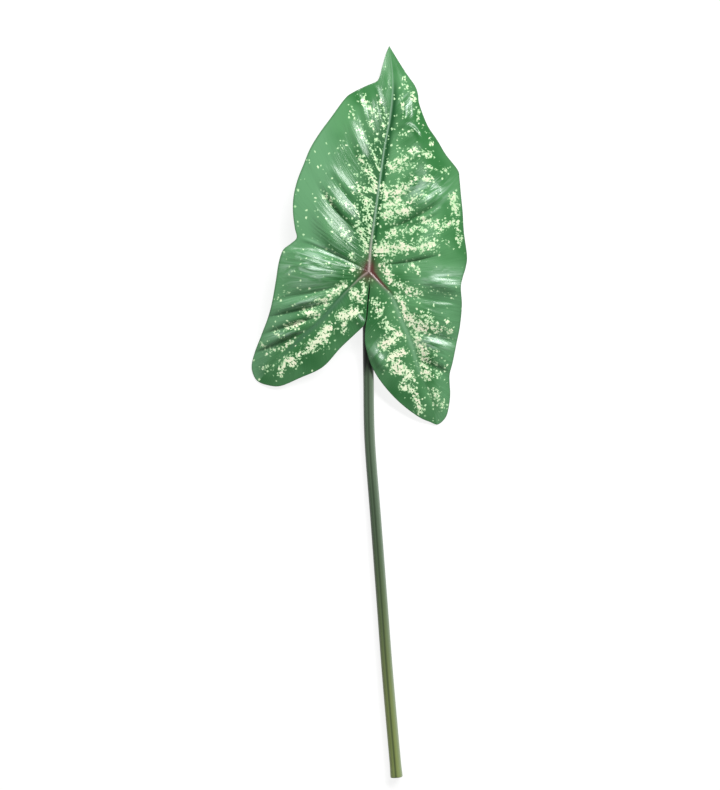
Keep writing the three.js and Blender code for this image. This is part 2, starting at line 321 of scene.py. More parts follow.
# Where the cream flecks crowd: strokes from one plan point to another, with a half width and a strength
FLECK_STROKES = (
    (29, 159, 32, 151, 1.5, 0.8), (28, 144, 28, 132, 2, 0.7), (36, 145, 37, 140, 2.5, 0.9),
    (41, 132, 41, 122, 1.5, 0.8), (44, 121, 48, 114, 1.5, 0.5), (25, 111, 37, 115, 2, 0.55),
    (37, 100, 18, 86, 4, 0.85), (39, 98, 51, 95, 3.5, 0.75), (18, 83, 36, 88, 3.5, 0.75),
    (51, 108, 51, 104, 1.5, 0.8), (47, 85, 64, 82, 2.5, 0.7), (30, 55, 44, 61, 3.5, 0.75),
    (14, 63, 28, 68, 6, 0.95),
    (28, 68, 37, 75, 3.5, 0.85), (14, 54, 24, 58, 3.5, 0.9), (14, 47, 32, 50, 5, 0.95),
    (46, 76, 51, 76, 2.5, 0.95), (24, 75, 34, 78, 2.5, 0.5), (44, 42, 59, 35, 3.5, 0.9),
    (64, 39, 73, 41, 3, 0.85), (69, 62, 71, 49, 3.5, 0.85), (8, 17, 26, 21, 6, 1), (16, 29, 22, 33, 3.5, 0.9),
    (26, 18, 52, 21, 4, 0.95), (28, 33, 42, 35, 3.5, 0.8), (32, 25, 54, 27, 2.5, 0.6),
    (60, 25, 65, 22, 2.5, 0.7), (72, 35, 74, 25, 3, 0.8), (13, 6, 18, -7, 3.5, 0.9),
    (33, 7, 39, 2, 3.5, 0.7), (23, -11, 42, -18, 3.5, 0.75),
    (23, -20, 30, -33, 3.5, 0.85), (30, -36, 45, -47, 5, 0.9), (47, -35, 55, -48, 4, 0.7),
    (64, -41, 66, -50, 2.5, 0.75), (37, -53, 46, -68, 5, 0.85), (46, -68, 47, -83, 5, 0.75),
    (53, -67, 57, -85, 3.5, 0.5), (54, -98, 60, -108, 3.5, 0.75), (51, -14, 72, -22, 2, 0.4),
    (5, -22, 9, -34, 3.5, 0.75), (13, -42, 21, -47, 3.5, 0.8), (13, -59, 24, -51, 5, 0.9),
    (18, -70, 28, -65, 4, 0.9), (21, -76, 33, -84, 5.5, 0.95), (28, -93, 34, -96, 3.5, 1),
    (37, -98, 43, -113, 3, 0.85),
    (-5, 141, 6, 129, 3.5, 0.9), (9, 145, 14, 120, 2.5, 0.65), (1, 122, 4, 117, 2.5, 0.95),
    (-14, 131, -11, 126, 2, 0.6), (-7, 117, 0, 106, 3, 0.75), (-23, 104, -20, 99, 2, 0.6),
    (2, 103, 8, 86, 3, 0.8), (-6, 92, -2, 81, 3.5, 0.85), (-1, 86, 4, 72, 4, 0.9), (-9, 67, 5, 67, 4, 0.9),
    (-4, 60, 1, 45, 3.5, 0.85), (-12, 52, -8, 46, 2.5, 0.8), (-8, 39, -1, 16, 4.5, 0.9),
    (-22, 35, -16, 28, 3.5, 0.8), (-35, 61, -28, 54, 3, 0.65), (-22, 56, -18, 54, 2.5, 0.6),
    (-14, 12, -13, 2, 3, 0.8), (8, 115, 13, 109, 3.5, 0.5), (10, 128, 14, 112, 2, 0.65),
    (5, 112, 11, 98, 2.5, 0.7), (4, 98, 9, 84, 2.5, 0.75), (2, 84, 6, 70, 3, 0.8), (1, 60, 4, 46, 3, 0.8),
    (-2, 46, 2, 30, 3.5, 0.85), (-31, -19, -20, -11, 4, 0.85),
    (-41, -26, -31, -23, 3.5, 0.8), (-52, -32, -42, -35, 3.5, 0.85), (-66, -45, -54, -41, 3, 0.85),
    (-76, -48, -71, -52, 2.5, 0.7), (-81, -66, -57, -56, 3, 0.6), (-87, -58, -83, -64, 2.5, 0.5),
    (-74, -21, -65, -17, 2.5, 0.5), (-5, -7, -4, -20, 2.5, 0.75), (-13, -16, -7, -23, 4, 0.9),
    (-20, -36, -12, -33, 5.5, 1), (-20, -40, -20, -50, 2.5, 0.8), (-33, -46, -37, -52, 4.5, 0.95),
    (-38, -53, -48, -62, 4.5, 0.95), (-54, -65, -59, -68, 2.5, 0.75), (-64, -72, -62, -74, 4, 1),
    (-72, -82, -69, -75, 3, 0.85), (-85, -78, -84, -77, 3, 0.8),
)


class NodePad:
    """A new material's node tree, with short ways to add and join nodes."""

    def __init__(self, name: str) -> None:
        """Start a material with one shader.

        Args:
            name: The material's name.
        """
        self.material = bpy.data.materials.new(name)
        self.material.use_nodes = True
        self.tree = self.material.node_tree

    def put(self, socket: Socket, value: Any) -> None:
        """Link a socket to another one, or set its value.

        Args:
            socket: The input to fill.
            value: Another node's output, or a plain value.
        """
        if isinstance(value, Socket):
            self.tree.links.new(value, socket)
        else:
            socket.default_value = value

    def add(self, kind: str, inputs: dict[str | int, Any] | None = None, **settings: Any) -> bpy.types.Node:
        """Add a node.

        Args:
            kind: The node's type, without the ShaderNode prefix.
            inputs: Values or sockets by the name or number of the input they go to.
            settings: Properties of the node itself.

        Returns:
            The node.
        """
        node = self.tree.nodes.new("ShaderNode" + kind)
        for key, value in settings.items():
            setattr(node, key, value)
        for key, value in (inputs or {}).items():
            self.put(node.inputs[key], value)
        return node

    def value(self, name: str) -> Socket:
        """Return the number that the mesh holds under an attribute's name."""
        return self.add("Attribute", attribute_name=name).outputs["Fac"]

    def math(self, operation: str, first: Any, second: Any) -> Socket:
        """Return the result of a sum on two numbers."""
        return self.add("Math", {0: first, 1: second}, operation=operation).outputs[0]

    def span(self, value: Any, low: Any, high: Any, to_low: Any = 0.0, to_high: Any = 1.0) -> Socket:
        """Return a number moved smoothly from one range to another, and held at its ends."""
        inputs = {"Value": value, "From Min": low, "From Max": high, "To Min": to_low, "To Max": to_high}
        return self.add("MapRange", inputs, interpolation_type="SMOOTHSTEP").outputs["Result"]

    def mix(self, share: Socket, first: Any, second: Any) -> Socket:
        """Mix two colours, each a socket or a display colour.

        Args:
            share: The share of the second colour.
            first: The colour where the share is 0.
            second: The colour where it is 1.

        Returns:
            The mixed colour.
        """
        node = self.add("Mix", {0: share}, data_type="RGBA")
        for number, colour in ((6, first), (7, second)):
            self.put(node.inputs[number], linear(colour) if isinstance(colour, tuple) else colour)
        return node.outputs[2]

    def paint(self, below: Socket, layer: str, tone: Colour, strength: float = 1.0) -> Socket:
        """Lay a tone over a colour where the mesh asks for it.

        Args:
            below: The colour so far.
            layer: The attribute that says how much of the tone there is.
            tone: The display colour to lay on.
            strength: The share of the tone where the attribute is 1.

        Returns:
            The painted colour.
        """
        share = self.value(layer)
        if strength < 1.0:
            share = self.math("MULTIPLY", share, strength)
        return self.mix(share, below, tone)

    def noise(self, vector: Any, detail: float = 2.0, roughness: float = 0.5, distortion: float = 0.0) -> Socket:
        """Return cloudy noise, with features about one unit of the vector across."""
        inputs = {"Scale": 1.0, "Detail": detail, "Roughness": roughness, "Distortion": distortion}
        return self.add("TexNoise", {"Vector": vector, **inputs}).outputs[0]

    def stretched(self, vector: Any, x: float, y: float, z: float = 1.0) -> Socket:
        """Return a vector in metres as counts of features of the given sizes in millimetres."""
        scale = tuple(1.0 / (size * MM) for size in (x, y, z))
        return self.add("Mapping", {"Vector": vector, "Scale": scale}).outputs[0]

    def even(self, vector: Any, size: float) -> Socket:
        """Return a vector in metres as counts of features of one size in millimetres."""
        return self.stretched(vector, size, size, size)

    def bump(self, height: Socket, strength: Any, depth: float, **below: Socket) -> Socket:
        """Return a normal bent by a height of a depth in millimetres, over the Normal below if one is given."""
        inputs = {"Height": height, "Strength": strength, "Distance": depth * MM, **below}
        return self.add("Bump", inputs).outputs[0]

    def finish(self, **inputs: Any) -> bpy.types.Material:
        """Set the shader's inputs, with _ for the spaces in their names.

        Args:
            inputs: Values or sockets by the input's name.

        Returns:
            The material.
        """
        shader = self.tree.nodes["Principled BSDF"]
        for name, value in inputs.items():
            self.put(shader.inputs[name.replace("_", " ")], value)
        return self.material


@dataclass(frozen=True)
class FleckedGreen:
    """The blade's finish: green satin, cream flecks, pale main veins, a red-brown junction, painted sheen and
    shade.
    """

    deep: Colour = (24, 70, 36)
    middle: Colour = (50, 109, 58)
    light: Colour = (80, 134, 86)
    pale: Colour = (93, 143, 101)
    cream: Colour = (223, 231, 199)
    # Flecks painted dimmer in the upper half, as painted shade
    painted_fleck_shade_cream: Colour = (200, 210, 178)
    blush: Colour = (232, 221, 201)
    mint: Colour = (172, 214, 162)
    # Painted sheen: the pale silvery tone laid into the colour
    painted_sheen: Colour = (172, 200, 180)
    rib: Colour = (130, 158, 136)
    pink_rib: Colour = (172, 152, 148)
    band: Colour = (66, 106, 78)
    bright_band: Colour = (122, 166, 128)
    red: Colour = (84, 50, 46)
    # Painted shade along the margin's edge
    rim_shade: Colour = (58, 96, 62)
    below: Colour = (106, 146, 104)
    cloud_size: float = 38.0
    patch_size: float = 3.0
    blob_size: float = 3.1
    blob_radii: Point = (0.22, 0.62)
    speck_size: float = 2.3
    speck_radii: Point = (0.14, 0.46)
    pit_size: float = 1.7
    tint_size: float = 14.0
    wobble_size: float = 2.4
    wobble: float = 1.1
    strips: Point = (2.1, 6.5)
    streaks: Point = (3.0, 26.0)
    streak_depth: float = 0.5
    fine_streaks: Point = (1.2, 22.0)
    fine_depth: float = 0.28
    wisps: Point = (4.6, 24.0)
    wisp_depth: float = 1.2
    bump: float = 0.6
    calm_bump: float = 0.03
    roughness: float = 0.29
    calm_gloss: float = 0.1
    under_roughness: float = 0.2
    specular: float = 0.45
    calm_specular: float = 0.18

    def material(self) -> bpy.types.Material:
        """Make the blade's material.

        Returns:
            The material, which reads the blade's attributes and flow map.
        """
        pad = NodePad("flecked_green")
        flow = pad.add("UVMap", uv_map=LeafBlade.FLOW).outputs[0]
        place = pad.add("TexCoord").outputs["Object"]
        streak = pad.noise(pad.stretched(flow, *self.streaks), 2.0)
        fine = pad.noise(pad.stretched(flow, *self.fine_streaks), 3.0, 0.6)
        wisp = pad.noise(pad.stretched(flow, *self.wisps), 3.0, 0.6, 0.9)
        colour = self.flecks(pad, place, flow, self.greens(pad, place, fine, wisp))
        colour = pad.paint(colour, "red", self.red)
        rib = pad.mix(pad.value("pink"), self.rib, self.pink_rib)
        colour = pad.mix(pad.value("rib"), colour, rib)
        # Painted shade along the margin's edge
        colour = pad.paint(colour, "rim_shade", self.rim_shade, 0.7)
        colour = pad.paint(colour, "under", self.below, 0.75)

        calm = pad.value("calm")
        strength = pad.span(calm, 0.0, 1.0, self.bump, self.calm_bump)
        # The painted sheen mask also strengthens the wisp bump
        normal = pad.bump(wisp, pad.value("painted_sheen"), self.wisp_depth)
        normal = pad.bump(streak, strength, self.streak_depth, Normal=normal)
        normal = pad.bump(fine, strength, self.fine_depth, Normal=normal)
        gloss = pad.span(fine, 0.3, 0.7, self.roughness - 0.04, self.roughness + 0.06)
        gloss = pad.math("SUBTRACT", gloss, pad.math("MULTIPLY", calm, self.calm_gloss))
        gloss = pad.math("ADD", gloss, pad.math("MULTIPLY", pad.value("under"), self.under_roughness))
        shine = pad.span(calm, 0.0, 1.0, self.specular, self.calm_specular)
        return pad.finish(Base_Color=colour, Roughness=gloss, Normal=normal, Specular_IOR_Level=shine)

    def greens(self, pad: NodePad, place: Socket, fine: Socket, wisp: Socket) -> Socket:
        """Mix the green between the flecks, with its bands, painted sheen wisps and painted shade.

        Args:
            pad: The material's nodes.
            place: Coordinates in the part's frame, in metres.
            fine: Noise drawn out into fine streaks.
            wisp: Noise drawn out into wisps.

        Returns:
            The green.
        """
        cloud = pad.noise(pad.even(place, self.cloud_size), 2.0)
        green = pad.mix(pad.span(cloud, 0.36, 0.66), self.middle, self.light)
        green = pad.paint(green, "pale", self.pale)
        green = pad.mix(pad.span(fine, 0.5, 0.78, 0.0, 0.2), green, self.deep)
        green = pad.paint(green, "band", self.band, 0.75)
        green = pad.paint(green, "bright_band", self.bright_band)
        # Painted sheen: silvery wisps laid into the green
        wisps = pad.math("MULTIPLY", pad.value("painted_sheen"), pad.span(wisp, 0.44, 0.62, 0.0, 0.75))
        green = pad.mix(wisps, green, self.painted_sheen)
        # Painted shade in the creases over the side veins
        green = pad.paint(green, "crease_shade", self.deep, 0.12)
        # Painted shade beside the midrib and the lobes' veins, and over parts of the lobes
        return pad.paint(green, "shade", self.deep, 0.95)

    def dots(self, pad: NodePad, spots: Socket, share: Socket, radii: Point) -> Socket:
        """Return how deep a place is in one of a scatter of round dots.

        Args:
            pad: The material's nodes.
            spots: Coordinates, with one dot to a unit.
            share: The share of the dots that are there.
            radii: The smallest and largest radius, in units.

        Returns:
            A number that is over 0 inside a dot.
        """
        cells = pad.add("TexVoronoi", {"Vector": spots, "Scale": 1.0})
        pick = pad.add("SeparateColor", {0: cells.outputs["Color"]})
        sizes = {"Value": pick.outputs[1], "To Min": radii[0], "To Max": radii[1]}
        radius = pad.add("MapRange", sizes).outputs[0]
        there = pad.math("LESS_THAN", pick.outputs[0], share)
        depth = pad.math("SUBTRACT", pad.math("ADD", radius, 1.0), cells.outputs["Distance"])
        return pad.math("SUBTRACT", pad.math("MULTIPLY", there, depth), 1.0)

    def flecks(self, pad: NodePad, place: Socket, flow: Socket, green: Socket) -> Socket:
        """Lay cream patches, rounded blobs and small specks over the green, as the blade's attributes say.

        Args:
            pad: The material's nodes.
            place: Coordinates in the part's frame, in metres.
            flow: Coordinates along and across the rows of the blade, in metres.
            green: The colour between the flecks.

        Returns:
            The colour with its flecks.
        """
        crowd, streaky = pad.value("fleck"), pad.value("streaky")
        cells = pad.noise(pad.even(place, self.patch_size), 2.6, 0.62)
        strips = pad.noise(pad.stretched(flow, *self.strips), 2.0, 0.5)
        mixed = pad.add("Mix", {0: streaky, 2: cells, 3: strips}).outputs[0]
        level = pad.math("SUBTRACT", 0.86, pad.math("MULTIPLY", crowd, 0.44))
        patch = pad.math("MULTIPLY", pad.math("SUBTRACT", mixed, level), 3.0)

        ripple = pad.add("TexNoise", {"Vector": pad.even(place, self.wobble_size), "Scale": 1.0}).outputs["Color"]
        wobble = pad.add("VectorMath", {0: ripple, "Scale": self.wobble}, operation="SCALE").outputs[0]
        blob_spots, speck_spots = (
            pad.add("VectorMath", {0: pad.even(place, size), 1: wobble}).outputs[0]
            for size in (self.blob_size, self.speck_size)
        )
        fewer = pad.span(streaky, 0.0, 1.0, 1.0, 0.3)
        blob_share = pad.math("MULTIPLY", pad.span(crowd, 0.12, 0.85, 0.0, 0.8), fewer)
        blobs = self.dots(pad, blob_spots, blob_share, self.blob_radii)
        specks = self.dots(pad, speck_spots, pad.value("speck"), self.speck_radii)

        pits = pad.span(pad.noise(pad.even(place, self.pit_size), 1.0), 0.52, 0.68)
        patch = pad.math("SUBTRACT", pad.math("MAXIMUM", patch, blobs), pits)
        depth = pad.math("MAXIMUM", patch, specks)
        tint = pad.noise(pad.even(place, self.tint_size), 1.0)
        # Flecks painted dimmer in the upper half, as painted shade
        cream = pad.mix(pad.value("painted_fleck_shade"), self.cream, self.painted_fleck_shade_cream)
        core = pad.mix(pad.span(tint, 0.4, 0.62, 0.0, 0.6), cream, self.blush)
        fleck = pad.mix(pad.span(depth, 0.04, 0.36), self.mint, core)
        return pad.mix(pad.span(depth, -0.16, 0.14), green, fleck)


class Row(NamedTuple):
    """What one row across a half of the blade needs to be shaped."""

    half: BladeHalf
    station: float
    spine: Vector
    margin: Vector
    width: float
    flow: float
    between: float
    swelling: float


class Spot(NamedTuple):
    """A place on the blade: its row, its share of the way from main vein to margin, and its plan point."""

    row: Row
    share: float
    plan: Vector

    @property
    def gap(self) -> float:
        """The distance from the main vein, in millimetres."""
        return self.share * self.row.width


def started_mesh(flow: str, names: tuple[str, ...]) -> tuple[Mesh, Layers]:
    """Start a mesh that holds a flow map and some numbers at its vertices.

    Args:
        flow: The flow map's name.
        names: The numbers' names.

    Returns:
        The mesh, and its number layers by name.
    """
    bm = bmesh.new()
    bm.loops.layers.uv.new(flow)
    for name in names:
        bm.verts.layers.float.new(name)
    return bm, {name: bm.verts.layers.float[name] for name in names}


def bevel(bm: Mesh, edges: list[bmesh.types.BMEdge], width: float, segments: int) -> None:
    """Round some edges of a mesh, by a width in millimetres."""
    bmesh.ops.bevel(
        bm, geom=edges, offset=width * MM, offset_type="OFFSET", segments=segments, profile=0.5,
        affect="EDGES", material=-1, clamp_overlap=True,
    )


def finished_object(name: str, bm: bmesh.types.BMesh) -> bpy.types.Object:
    """Turn a bmesh into a smooth-shaded object at the origin.

    Args:
        name: The object's name.
        bm: Its mesh, which is freed.

    Returns:
        The object, linked to the scene.
    """
    mesh = bpy.data.meshes.new(name)
    bm.to_mesh(mesh)
    bm.free()
    mesh.shade_smooth()
    piece = bpy.data.objects.new(name, mesh)
    bpy.context.scene.collection.objects.link(piece)
    return piece


@dataclass
class LeafBlade:
    """The arrow-shaped blade: a low dome, swollen between sunken side veins, with ribs below."""

    FLOW = "vein_flow"
    LAYERS = (
        "drop", "pale", "crease_shade", "rib", "pink", "band", "bright_band", "shade", "red", "rim_shade", "calm", "painted_sheen",
        "painted_fleck_shade", "streaky", "fleck", "speck", "under",
    )

    midrib: SmoothCurve = SmoothCurve((
        (18, 178.5), (19.5, 162.5), (19.5, 145.5), (17, 124), (13, 102.5), (9.5, 78), (5.5, 48.5), (2, 23), (0, 0),
    ))
    halves: tuple[BladeHalf, ...] = (LEFT_HALF, RIGHT_HALF)
    folds: tuple[Fold, ...] = FOLDS
    thickness: float = 0.9
    junction_height: float = 18.0
    level_ends: Point = (1.15, 1.9)
    swell: float = 0.1
    swell_lean: float = 3.0
    swell_rise: float = 0.55
    swell_lost_at_margin: float = 0.95
    ebb_delay: float = 0.24
    ebb_delays: Point = (0.8, 1.05)
    ripple: float = 0.22
    ripple_boost: float = 2.0
    ripple_spacing: float = 4.6
    vein_bend: float = 0.07
    bend_starts: Point = (0.0, 0.3)
    bend_ends: Point = (0.74, 0.9)
    tip_fade: float = 0.1
    slit_fade: float = 0.3
    main_rib_depth: float = 2.4
    main_rib_half_width: float = 3.2
    side_rib_depth: float = 0.5
    side_rib_sharpness: float = 4.0
    vein_ridge: float = 0.9
    vein_half_width: Point = (0.6, 1.15)
    vein_tip: Point = (0.05, 0.25)
    vein_tip_loss: float = 0.45
    vein_tip_widening: float = 0.9
    lobe_vein_strength: float = 0.7
    lobe_vein_reach: float = 26.0
    band_half_widths: Point = (3.6, 2.6)
    band_starts: Point = (10.0, 34.0)
    band_ends: Point = (78.0, 112.0)
    fleck_gains: Point = (1.05, 1.12)
    lobe_fleck_gains: Point = (1.22, 1.14)
    stroke_reach: float = 3.0
    stroke_softness: float = 1.3
    midrib_crowding: float = 2.2
    lobe_crowding: float = 1.4
    column_crowding: float = 1.5
    midrib_rows: int = 160
    lobe_rows: int = 100
    columns: int = 56
    flow_apart: float = 1000.0
    edge_round: float = 0.28
    rim_shade_width: float = 1.2
    finish: FleckedGreen = field(default_factory=FleckedGreen)

    @cached_property
    def shift(self) -> Vector:
        """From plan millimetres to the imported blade's place, in millimetres."""
        low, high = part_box("leaf_blade")
        left = min(half.margin_at(i / 100.0).x for half in self.halves for i in range(301))
        return Vector((low.x / MM - left, high.y / MM - TIP[1]))

    @cached_property
    def dome_fall(self) -> Vector:
        """How the dome falls with x squared, y squared and y, so that the tip and lobe ends meet the surface."""
        feet = [Vector(TIP), *(half.margin_at(LOBE_END) for half in self.halves)]
        terms = Matrix([(foot.x ** 2, foot.y ** 2, foot.y) for foot in feet])
        drop = self.junction_height - self.thickness
        return terms.inverted() @ Vector((drop, drop, drop))

    def spine_at(self, half: BladeHalf, station: float) -> Vector:
        """Return the point of the main veins at a station.

        Args:
            half: The half of the blade.
            station: Place along its strip.

        Returns:
            The point, in millimetres.
        """
        if station <= JUNCTION:
            return self.midrib.along(1.0 - (JUNCTION - station) ** self.midrib_crowding)
        reach = station - JUNCTION if station <= LOBE_END else SLIT - station
        return half.lobe_vein.along(max(reach, 0.0) ** self.lobe_crowding)

    def rows(self, half: BladeHalf) -> list[Row]:
        """Lay rows across a half.

        Args:
            half: The half of the blade.

        Returns:
            The rows, from the tip to the head of the slit.
        """
        rows: list[Row] = []
        middle, flow = Vector(TIP), 0.0
        for step in range(self.midrib_rows + 2 * self.lobe_rows + 1):
            past = step - self.midrib_rows
            station = step / self.midrib_rows if past < 0 else JUNCTION + past / self.lobe_rows
            spine, margin = self.spine_at(half, station), half.margin_at(station)
            flow += ((spine + margin) / 2.0 - middle).length
            middle = (spine + margin) / 2.0
            width = (margin - spine).length
            rows.append(Row(half, station, spine, margin, width, flow, *half.between_veins(station)))
        return rows

    def spot_at(self, row: Row, share: float) -> Spot:
        """Return a place on a row that leaves the midrib flat and bends up towards the tip.

        Args:
            row: The row across a half.
            share: Share of the way from main vein to margin.

        Returns:
            The place.
        """
        across = row.margin - row.spine
        bend = self.vein_bend * ease(row.station, *self.bend_starts) * (1.0 - ease(row.station, *self.bend_ends))
        aside = Vector((across.y, -across.x)) * row.half.side.value
        return Spot(row, share, row.spine + across * share + aside * (bend * hump(share)))

    def fade(self, station: float) -> float:
        """Return 1, or less where the relief dies out towards the tip and the slit."""
        return ease(station, 0.0, self.tip_fade) * (1.0 - ease(station, SLIT - self.slit_fade, SLIT))

    def taper(self, station: float) -> float:
        """Return how stout the main vein is: 1 at the junction, 0 at the tip and the lobe's end."""
        return station if station <= JUNCTION else abs(station - LOBE_END)

    def spread(self, spot: Spot) -> float:
        """Return how much of the swelling there is between main vein and margin.

        Args:
            spot: The place on the blade.

        Returns:
            A number from 0 to 1.
        """
        later = self.ebb_delay * ease(spot.row.station, *self.ebb_delays)
        start, end = spot.row.half.swell_ebbs
        ebb = 1.0 - self.swell_lost_at_margin * ease(spot.share, start + later, end + later)
        return self.fade(spot.row.station) * ease(spot.share, 0.0, self.swell_rise) * ebb

    def swelling(self, between: float) -> float:
        """Return the swelling from one side vein to the next: a long even rise to 1, then a steep fall.

        Args:
            between: How far it is from one vein to the next, from 0 to 1.

        Returns:
            A number from 0 to 1.
        """
        lean = self.swell_lean
        crest = (lean + 1.0) ** (-1.0 / lean)
        return between / crest * (1.0 - between ** lean) * (lean + 1.0) / lean

    def vein(self, spot: Spot) -> float:
        """Return how much of the raised main vein there is.

        Args:
            spot: The place on the blade.

        Returns:
            1 on the vein, falling to 0 beside it and along the lobes.
        """
        station = spot.row.station
        tip = 1.0 - ease(station, *self.vein_tip)
        along = 1.0 - self.vein_tip_loss * tip
        if station > JUNCTION:
            along = self.lobe_vein_strength * bell(spot.row.spine.length / self.lobe_vein_reach)
        half_width = blend(*self.vein_half_width, self.taper(station)) + self.vein_tip_widening * tip
        return along * bell(spot.gap / half_width)

    def ridge(self, spot: Spot) -> float:
        """Return how high the main vein stands over the upper face, in millimetres."""
        return self.vein_ridge * self.taper(spot.row.station) * self.vein(spot)

    def rippling(self, spot: Spot) -> float:
        """Return the height of the fine ripples that run out from the main veins.

        Args:
            spot: The place on the blade.

        Returns:
            The height, in millimetres.
        """
        row, share = spot.row, spot.share
        peak, reach = row.half.ripple_peak
        strength = 1.0 + self.ripple_boost * bell((row.station - peak) / reach)
        wander = sum(turn * math.sin(across * share + along * row.flow) for turn, across, along in RIPPLE_WAVES)
        come_and_go = 0.6 + 0.4 * math.sin(0.37 * row.flow + 6.0 * share)
        wave = math.sin(2.0 * math.pi * row.flow / self.ripple_spacing + wander)
        return self.ripple * strength * come_and_go * wave * hump(row.between)

    def top(self, spot: Spot) -> float:
        """Return the height of the upper face.

        Args:
            spot: The place on the blade.

        Returns:
            The height over the surface, in millimetres.
        """
        row, plan, fall = spot.row, spot.plan, self.dome_fall
        dome = self.junction_height - fall.x * plan.x ** 2 - fall.y * plan.y ** 2 - fall.z * plan.y
        level = fall.x * (plan.x ** 2 - row.spine.x ** 2)
        tilt = row.half.tilt * spot.share * row.width
        lift = (level + tilt) * self.fade(row.station) * (1.0 - ease(row.station, *self.level_ends))
        spread = self.spread(spot) * row.swelling
        swell = self.swell * row.width * self.swelling(row.between)
        folds = sum(fold.lift(plan) for fold in self.folds)
        return dome + lift + spread * (swell + self.rippling(spot)) + self.ridge(spot) + folds

    def drop(self, spot: Spot) -> float:
        """Return the thickness from upper to lower face, with the ribs below.

        Args:
            spot: The place on the blade.

        Returns:
            The thickness, in millimetres.
        """
        row = spot.row
        main = self.main_rib_depth * self.taper(row.station) * bell(spot.gap / self.main_rib_half_width)
        sharp = (1.0 - hump(row.between)) ** self.side_rib_sharpness
        side = self.side_rib_depth * self.fade(row.station) * hump(spot.share) * sharp
        return self.thickness + main + side + self.ridge(spot)

    def band(self, spot: Spot) -> float:
        """Return how strong the band along a lobe's vein is.

        Args:
            spot: The place on the blade.

        Returns:
            A number from 0 to 1, and 0 along the midrib.
        """
        away = spot.row.spine.length
        if spot.row.station <= JUNCTION:
            return 0.0
        across = bell(spot.gap / self.band_half_widths[spot.row.half.right])
        return across * ease(away, *self.band_starts) * (1.0 - ease(away, *self.band_ends))

    def midrib_painted_shade(self, spot: Spot) -> float:
        """Return the painted shade beside the midrib: a shadow line on both sides, and a wide darker zone on the
        left.

        Args:
            spot: The place on the blade.

        Returns:
            A number from 0 to 1.
        """
        station, right = spot.row.station, spot.row.half.right
        width = blend(4.2, 1.9, ease(station, 0.1, 0.45))
        line = (1.0 if right else 0.3) * bell((spot.gap - 2.8) / width) * ease(station, 0.03, 0.12)
        if right:
            return line
        late = 0.45 * ease(station, 0.5, 0.7) + 0.55 * ease(station, 0.8, 0.95)
        return max(line, 0.7 * bell(spot.gap / 26.0) * ease(station, 0.08, 0.2) * (1.0 - late))

    def lobe_painted_shade(self, spot: Spot) -> float:
        """Return the painted shade on a lobe: beside its vein, over the left lobe's middle and along the slit.

        Args:
            spot: The place on the blade.

        Returns:
            A number from 0 to 1.
        """
        station, share = spot.row.station, spot.share
        outer = station <= LOBE_END
        beside = (0.8 if outer else 0.2) * bell((spot.gap - 2.2) / 1.8) * bell(spot.row.spine.length / 34.0)
        if not outer:
            return max(beside, 0.35 * ease(share, 0.1, 0.5))
        if spot.row.half.right:
            return beside
        middle = ease(station, 1.2, 1.4) * ease(share, 0.1, 0.35) * (1.0 - ease(share, 0.7, 0.95))
        return max(beside, 0.25 * middle)

    def redness(self, spot: Spot) -> float:
        """Return how red the blade is: at the junction, beside the midrib and along the right lobe's vein.

        Args:
            spot: The place on the blade.

        Returns:
            A number from 0 to 1.
        """
        station, away, red = spot.row.station, spot.row.spine.length, 0.0
        if station <= JUNCTION:
            red = 0.5 * bell((spot.gap - 2.0) / 1.6) * bell(away / 10.0)
        elif spot.row.half.right and station <= LOBE_END:
            red = bell((spot.gap - 1.8) / 2.0) * (1.0 - ease(away, 12.0, 28.0))
        return min(1.0, red + 0.9 * bell(spot.plan.length / 8.0))

    def paleness(self, spot: Spot) -> float:
        """Return how pale the blade is towards its outer margin.

        Args:
            spot: The place on the blade.

        Returns:
            A number from 0 to 1.
        """
        station = spot.row.station
        if station > LOBE_END:
            return 0.0
        left = 1.0 - 0.7 * bell((station - 1.07) / 0.16)
        tone = 0.6 * ease(station, 0.85, 1.1) if spot.row.half.right else left
        return ease(spot.share, 0.4, 0.75) * tone * ease(station, 0.3, 0.5)

    def markings(self, spot: Spot) -> dict[str, float]:
        """Return how strong each marking is.

        Args:
            spot: The place on the blade.

        Returns:
            A number for each of the blade's markings, most of them from 0 to 1.
        """
        row, share, plan = spot
        station, right, on_midrib = row.station, row.half.right, row.station <= JUNCTION
        vein, band, crowd = self.vein(spot), self.band(spot), self.crowd(plan)
        # Painted shade: darkening beside the veins and over parts of the lobes
        shade = self.midrib_painted_shade(spot) if on_midrib else self.lobe_painted_shade(spot)
        # Flecks and painted sheen keep off the veins, and the streaks are faint by the margin and the tip
        clear = 1.0 - min(1.0, 1.4 * max(vein, 0.5 * band if right else band))
